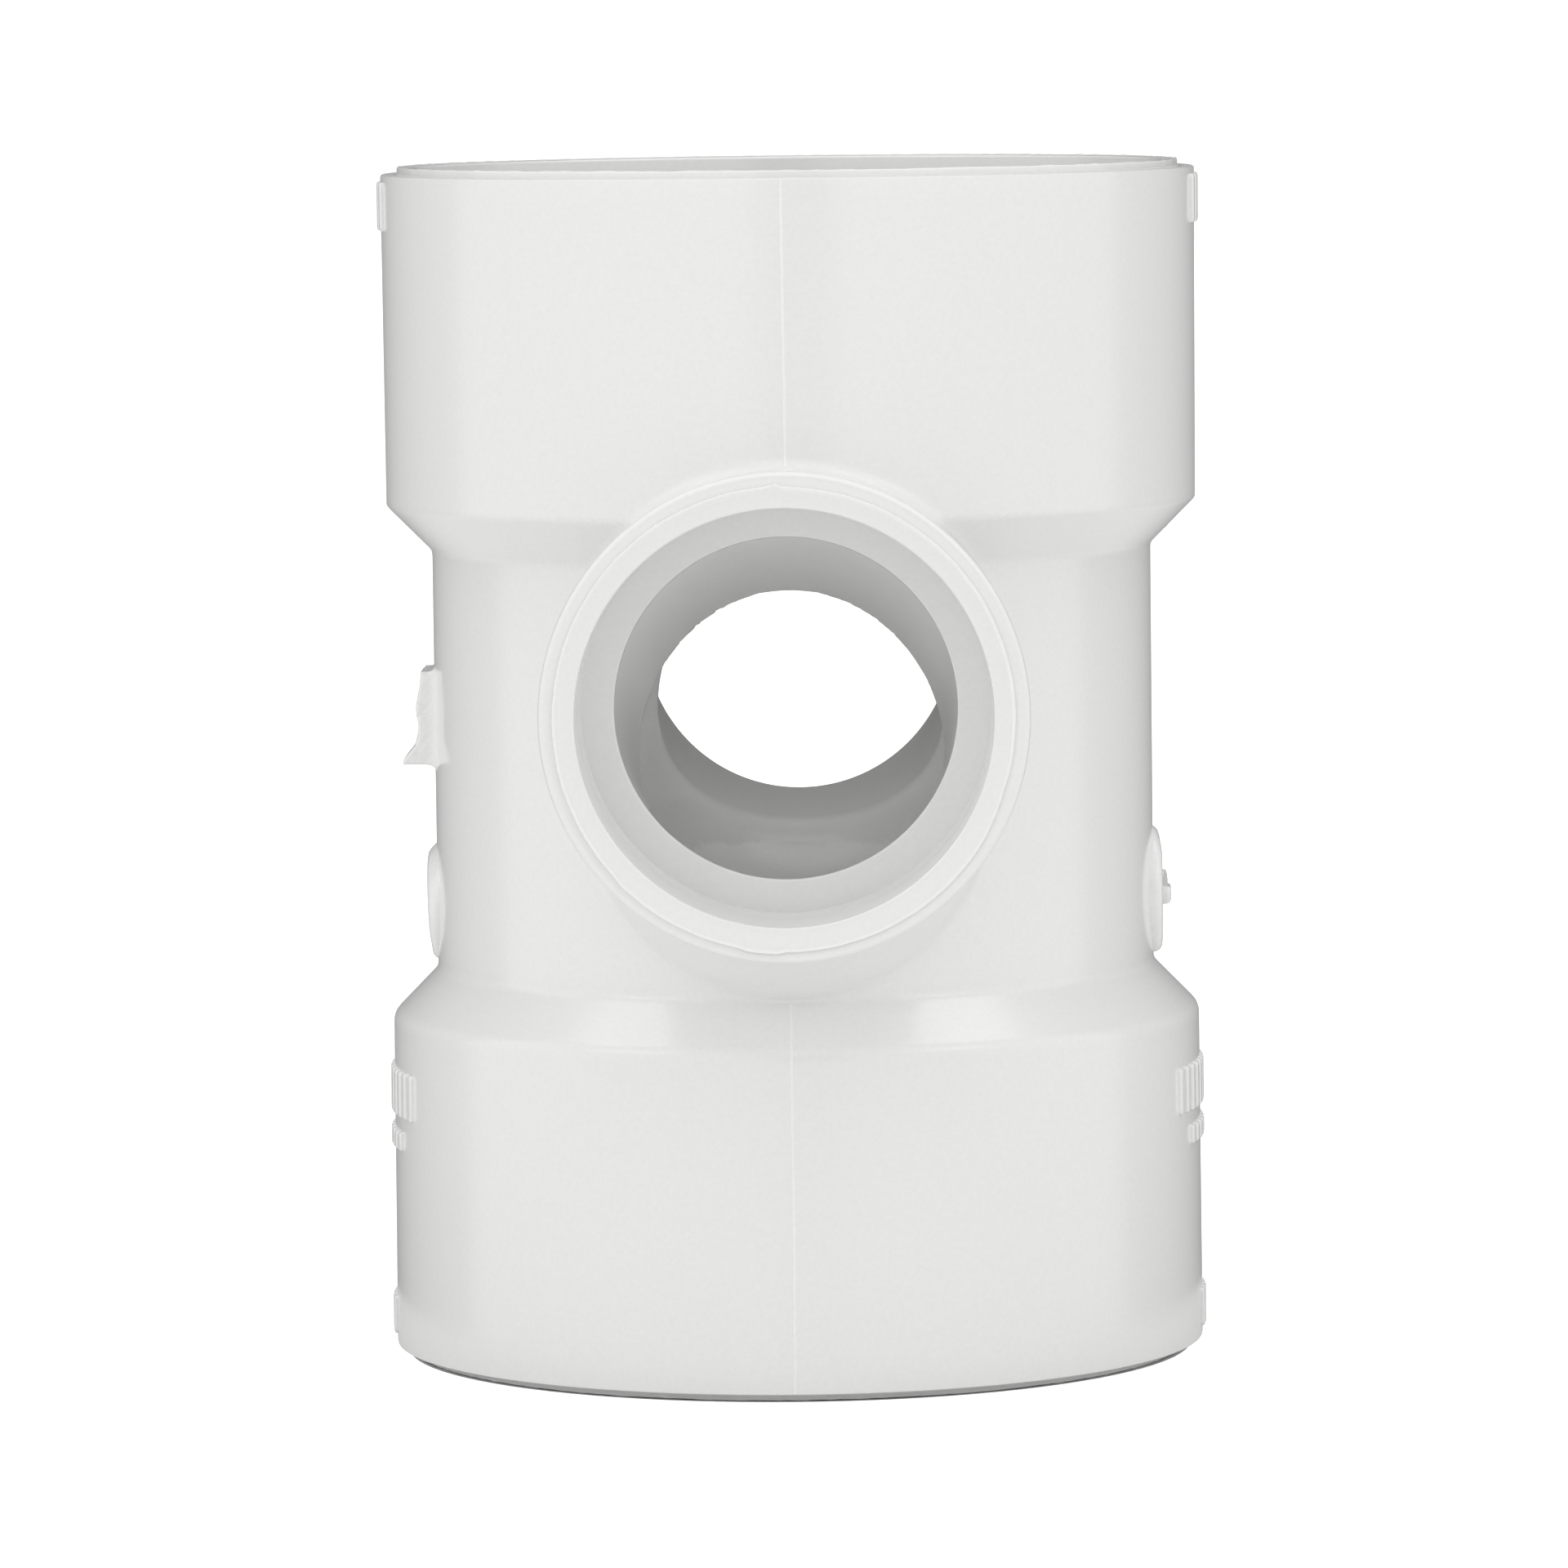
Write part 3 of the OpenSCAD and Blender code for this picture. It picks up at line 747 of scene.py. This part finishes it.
seam_ribs("front_parting_line", -1, "front_seam")
seam_ribs("rear_parting_line", 1, "rear_seam")


# ---------------------------------------------------------------- the studio
def staged(name, points, faces, material):
    mesh = bpy.data.meshes.new(name)
    mesh.from_pydata(points, [], faces)
    mesh.materials.append(material)
    obj = bpy.data.objects.new(name, mesh)
    bpy.context.scene.collection.objects.link(obj)
    return obj


def seen_only_by_camera(obj):
    obj.visible_diffuse = False
    obj.visible_glossy = False
    obj.visible_transmission = False
    obj.visible_shadow = False


PAPER_SCALE, PAPER_SHADE = 40, 0.985   # cells per metre, and the darker tone as a share of the lighter


def paper_material(name, colour, glow):
    """White studio paper: matt, with a faint tooth, lifted by light from behind."""
    material = bpy.data.materials.new(name)
    tree = node_tree(material)
    new, link = tree.nodes.new, tree.links.new
    out, mixed = new("ShaderNodeOutputMaterial"), new("ShaderNodeAddShader")
    paper, light = new("ShaderNodeBsdfDiffuse"), new("ShaderNodeEmission")
    tooth, tint = new("ShaderNodeTexNoise"), new("ShaderNodeMix")
    tint.data_type = "RGBA"
    tooth.inputs["Scale"].default_value = PAPER_SCALE
    shade = colour * PAPER_SHADE
    tint.inputs["A"].default_value = (colour, colour, colour, 1)
    tint.inputs["B"].default_value = (shade, shade, shade, 1)
    link(tooth.outputs["Fac"], tint.inputs["Factor"])
    link(tint.outputs["Result"], paper.inputs["Color"])
    light.inputs["Strength"].default_value = glow
    link(paper.outputs["BSDF"], mixed.inputs[0])
    link(light.outputs["Emission"], mixed.inputs[1])
    link(mixed.outputs["Shader"], out.inputs["Surface"])
    return material


PINHOLE = 0.1 * MM            # each disc is a ring of quads around a hole this small


def disc(name, radius, height, material, around=96):
    points = [(r * math.cos(2 * math.pi * k / around), r * math.sin(2 * math.pi * k / around), height)
              for r in (PINHOLE, radius) for k in range(around)]
    faces = [(k, (k + 1) % around, around + (k + 1) % around, around + k) for k in range(around)]
    return staged(name, points, faces, material)


# The floor that the camera sees gives no light to the fitting. The fitting's own light comes off two discs
# of plain paper, stacked a hair below its base, and off the lower part of the light tent.
FLOOR_R, NEAR_R, UNDER_R = 6.0, 0.1, 0.0607
shaded_paper = paper_material("shaded_paper", 0.8, 0.0)
disc("paper_under_the_fitting", UNDER_R, -0.01 * MM, shaded_paper)
near = disc("paper_around_the_fitting", NEAR_R, -0.02 * MM, shaded_paper)
near.visible_camera = False
seen_only_by_camera(disc("paper_floor", FLOOR_R, -0.03 * MM, paper_material("floor_paper", 0.8, 0.64)))

DOME_R, DOME_RINGS, DOME_SIDES, DOME_END = 8.0, 24, 64, 1.55   # the end is an angle just short of the poles
dome_points = [(DOME_R * math.cos(e) * math.cos(2 * math.pi * k / DOME_SIDES),
                DOME_R * math.cos(e) * math.sin(2 * math.pi * k / DOME_SIDES), DOME_R * math.sin(e))
               for e in np.linspace(-DOME_END, DOME_END, DOME_RINGS) for k in range(DOME_SIDES)]
dome_faces = [(i * DOME_SIDES + k, i * DOME_SIDES + (k + 1) % DOME_SIDES,
               (i + 1) * DOME_SIDES + (k + 1) % DOME_SIDES, (i + 1) * DOME_SIDES + k)
              for i in range(DOME_RINGS - 1) for k in range(DOME_SIDES)]
dome = staged("paper_backdrop", dome_points, dome_faces, paper_material("backdrop_paper", 0.1, 1.0))
seen_only_by_camera(dome)


def light_tent():
    """The world as a light tent: bright paper in front and at the sides, darker behind the fitting."""
    world = bpy.data.worlds.new("light_tent")
    bpy.context.scene.world = world
    tree = node_tree(world)
    new, link = tree.nodes.new, tree.links.new
    place, split = new("ShaderNodeTexCoord"), new("ShaderNodeSeparateXYZ")
    link(place.outputs["Generated"], split.inputs["Vector"])

    def maths(kind, *values):
        node = new("ShaderNodeMath")
        node.operation = kind
        for i, value in enumerate(values):
            if isinstance(value, (int, float)):
                node.inputs[i].default_value = value
            else:
                link(value, node.inputs[i])
        return node.outputs[0]

    def between(value, start, end, low, high):
        node = new("ShaderNodeMapRange")
        node.interpolation_type = "SMOOTHSTEP"
        for socket, number in (("From Min", start), ("From Max", end), ("To Min", low), ("To Max", high)):
            node.inputs[socket].default_value = number
        link(value, node.inputs["Value"])
        return node.outputs["Result"]

    x, y, z = split.outputs   # of the unit direction. The thresholds below are in its own units
    flat = maths("SQRT", maths("ADD", maths("MULTIPLY", x, x), maths("MULTIPLY", y, y)))
    flat = maths("MAXIMUM", flat, 0.001)
    ahead = maths("DIVIDE", maths("MULTIPLY", y, -1), flat)
    aside = maths("DIVIDE", x, flat)
    wall = between(ahead, -0.32, -0.23, TENT_BACK, TENT_FRONT)
    towards_gap = maths("ADD", maths("MULTIPLY", ahead, math.cos(GAP_TURN)),
                        maths("MULTIPLY", aside, math.sin(GAP_TURN)))
    gap = between(towards_gap, 0.975, 0.99, 0, 1 - TENT_GAP)
    gap = maths("MULTIPLY", gap, between(z, -0.115, -0.045, 0, 1))
    gap = maths("MULTIPLY", gap, between(z, 0.3, 0.6, 1, 0))
    lean = between(x, -0.6, 0.6, 1, TENT_RIGHT)
    wall = maths("MULTIPLY", maths("MULTIPLY", wall, maths("SUBTRACT", 1, gap)), lean)
    low = between(z, -0.55, -0.12, 1, 0)
    high = between(z, 0.55, 0.9, 0, 1)
    ceiling = maths("MULTIPLY", between(y, 0, 0.45, 1, TENT_REAR), TENT_TOP)
    level = maths("ADD", maths("MULTIPLY", wall, maths("SUBTRACT", maths("SUBTRACT", 1, low), high)),
                  maths("ADD", maths("MULTIPLY", low, TENT_FLOOR), maths("MULTIPLY", high, ceiling)))
    background, out = new("ShaderNodeBackground"), new("ShaderNodeOutputWorld")
    link(level, background.inputs["Strength"])
    link(background.outputs["Background"], out.inputs["Surface"])


# Brightness of the tent's front, back, floor and top. The right side, the top's rear and the gap in front,
# where the camera looks in, are given as shares of what is around them.
TENT_FRONT, TENT_BACK, TENT_FLOOR, TENT_TOP = 1.24, 0.2, 1.08, 1.35
TENT_RIGHT, TENT_REAR, TENT_GAP = 0.96, 0.6, 0.03
GAP_TURN = 2.8 * DEG          # of the gap to the right
light_tent()

FITTING_MIDDLE = 0.09


def soft_box(name, azimuth, height, distance, size, power):
    """A soft box that looks at the fitting's middle. Azimuth and height are in degrees, from the camera's
    side to the right and up. Distance and size are in metres, and power is in watts."""
    light = bpy.data.lights.new(name, "AREA")
    light.shape, light.size, light.energy = "SQUARE", size, power
    box = bpy.data.objects.new(name, light)
    bpy.context.scene.collection.objects.link(box)
    turn, rise = azimuth * DEG, height * DEG
    away = Vector((math.sin(turn) * math.cos(rise), -math.cos(turn) * math.cos(rise), math.sin(rise)))
    box.location = Vector((0, 0, FITTING_MIDDLE)) + away * distance
    box.rotation_euler = away.to_track_quat("Z", "Y").to_euler()
    return box


soft_box("high_left_soft_box", -95, 63, 1.6, 0.5, 0.9)
soft_box("high_right_soft_box", 95, 63, 1.6, 0.5, 1.25)
soft_box("low_left_soft_box", -50, 30, 1.6, 0.6, 1.15)
soft_box("low_right_soft_box", 50, 30, 1.6, 0.6, 1.25)


# ---------------------------------------------------------------- the camera
# The camera stands a little to the right of the front branch and above it, and looks slightly down
CAMERA_PLACE = (0.01944, -1.4088, 0.21004)
CAMERA_YAW, CAMERA_PITCH, CAMERA_ROLL = -0.0149, 0.0870, -0.0117
CAMERA_LENS, SENSOR = 209.8, 36.0   # mm


def add_camera():
    data = bpy.data.cameras.new("camera")
    data.lens, data.sensor_width = CAMERA_LENS, SENSOR
    data.clip_start, data.clip_end = 0.01, 100
    camera = bpy.data.objects.new("camera", data)
    bpy.context.scene.collection.objects.link(camera)
    forward = Vector((math.sin(CAMERA_YAW), math.cos(CAMERA_YAW), 0))
    level = Vector((math.cos(CAMERA_YAW), -math.sin(CAMERA_YAW), 0))
    ahead = forward * math.cos(CAMERA_PITCH) - Vector((0, 0, math.sin(CAMERA_PITCH)))
    upright = level.cross(ahead)
    right = level * math.cos(CAMERA_ROLL) + upright * math.sin(CAMERA_ROLL)
    up = upright * math.cos(CAMERA_ROLL) - level * math.sin(CAMERA_ROLL)
    turn = Matrix((right, up, -ahead)).transposed().to_4x4()
    camera.matrix_world = Matrix.Translation(CAMERA_PLACE) @ turn
    bpy.context.scene.camera = camera


add_camera()
bpy.context.scene.view_settings.view_transform = "Standard"
bpy.context.view_layer.update()
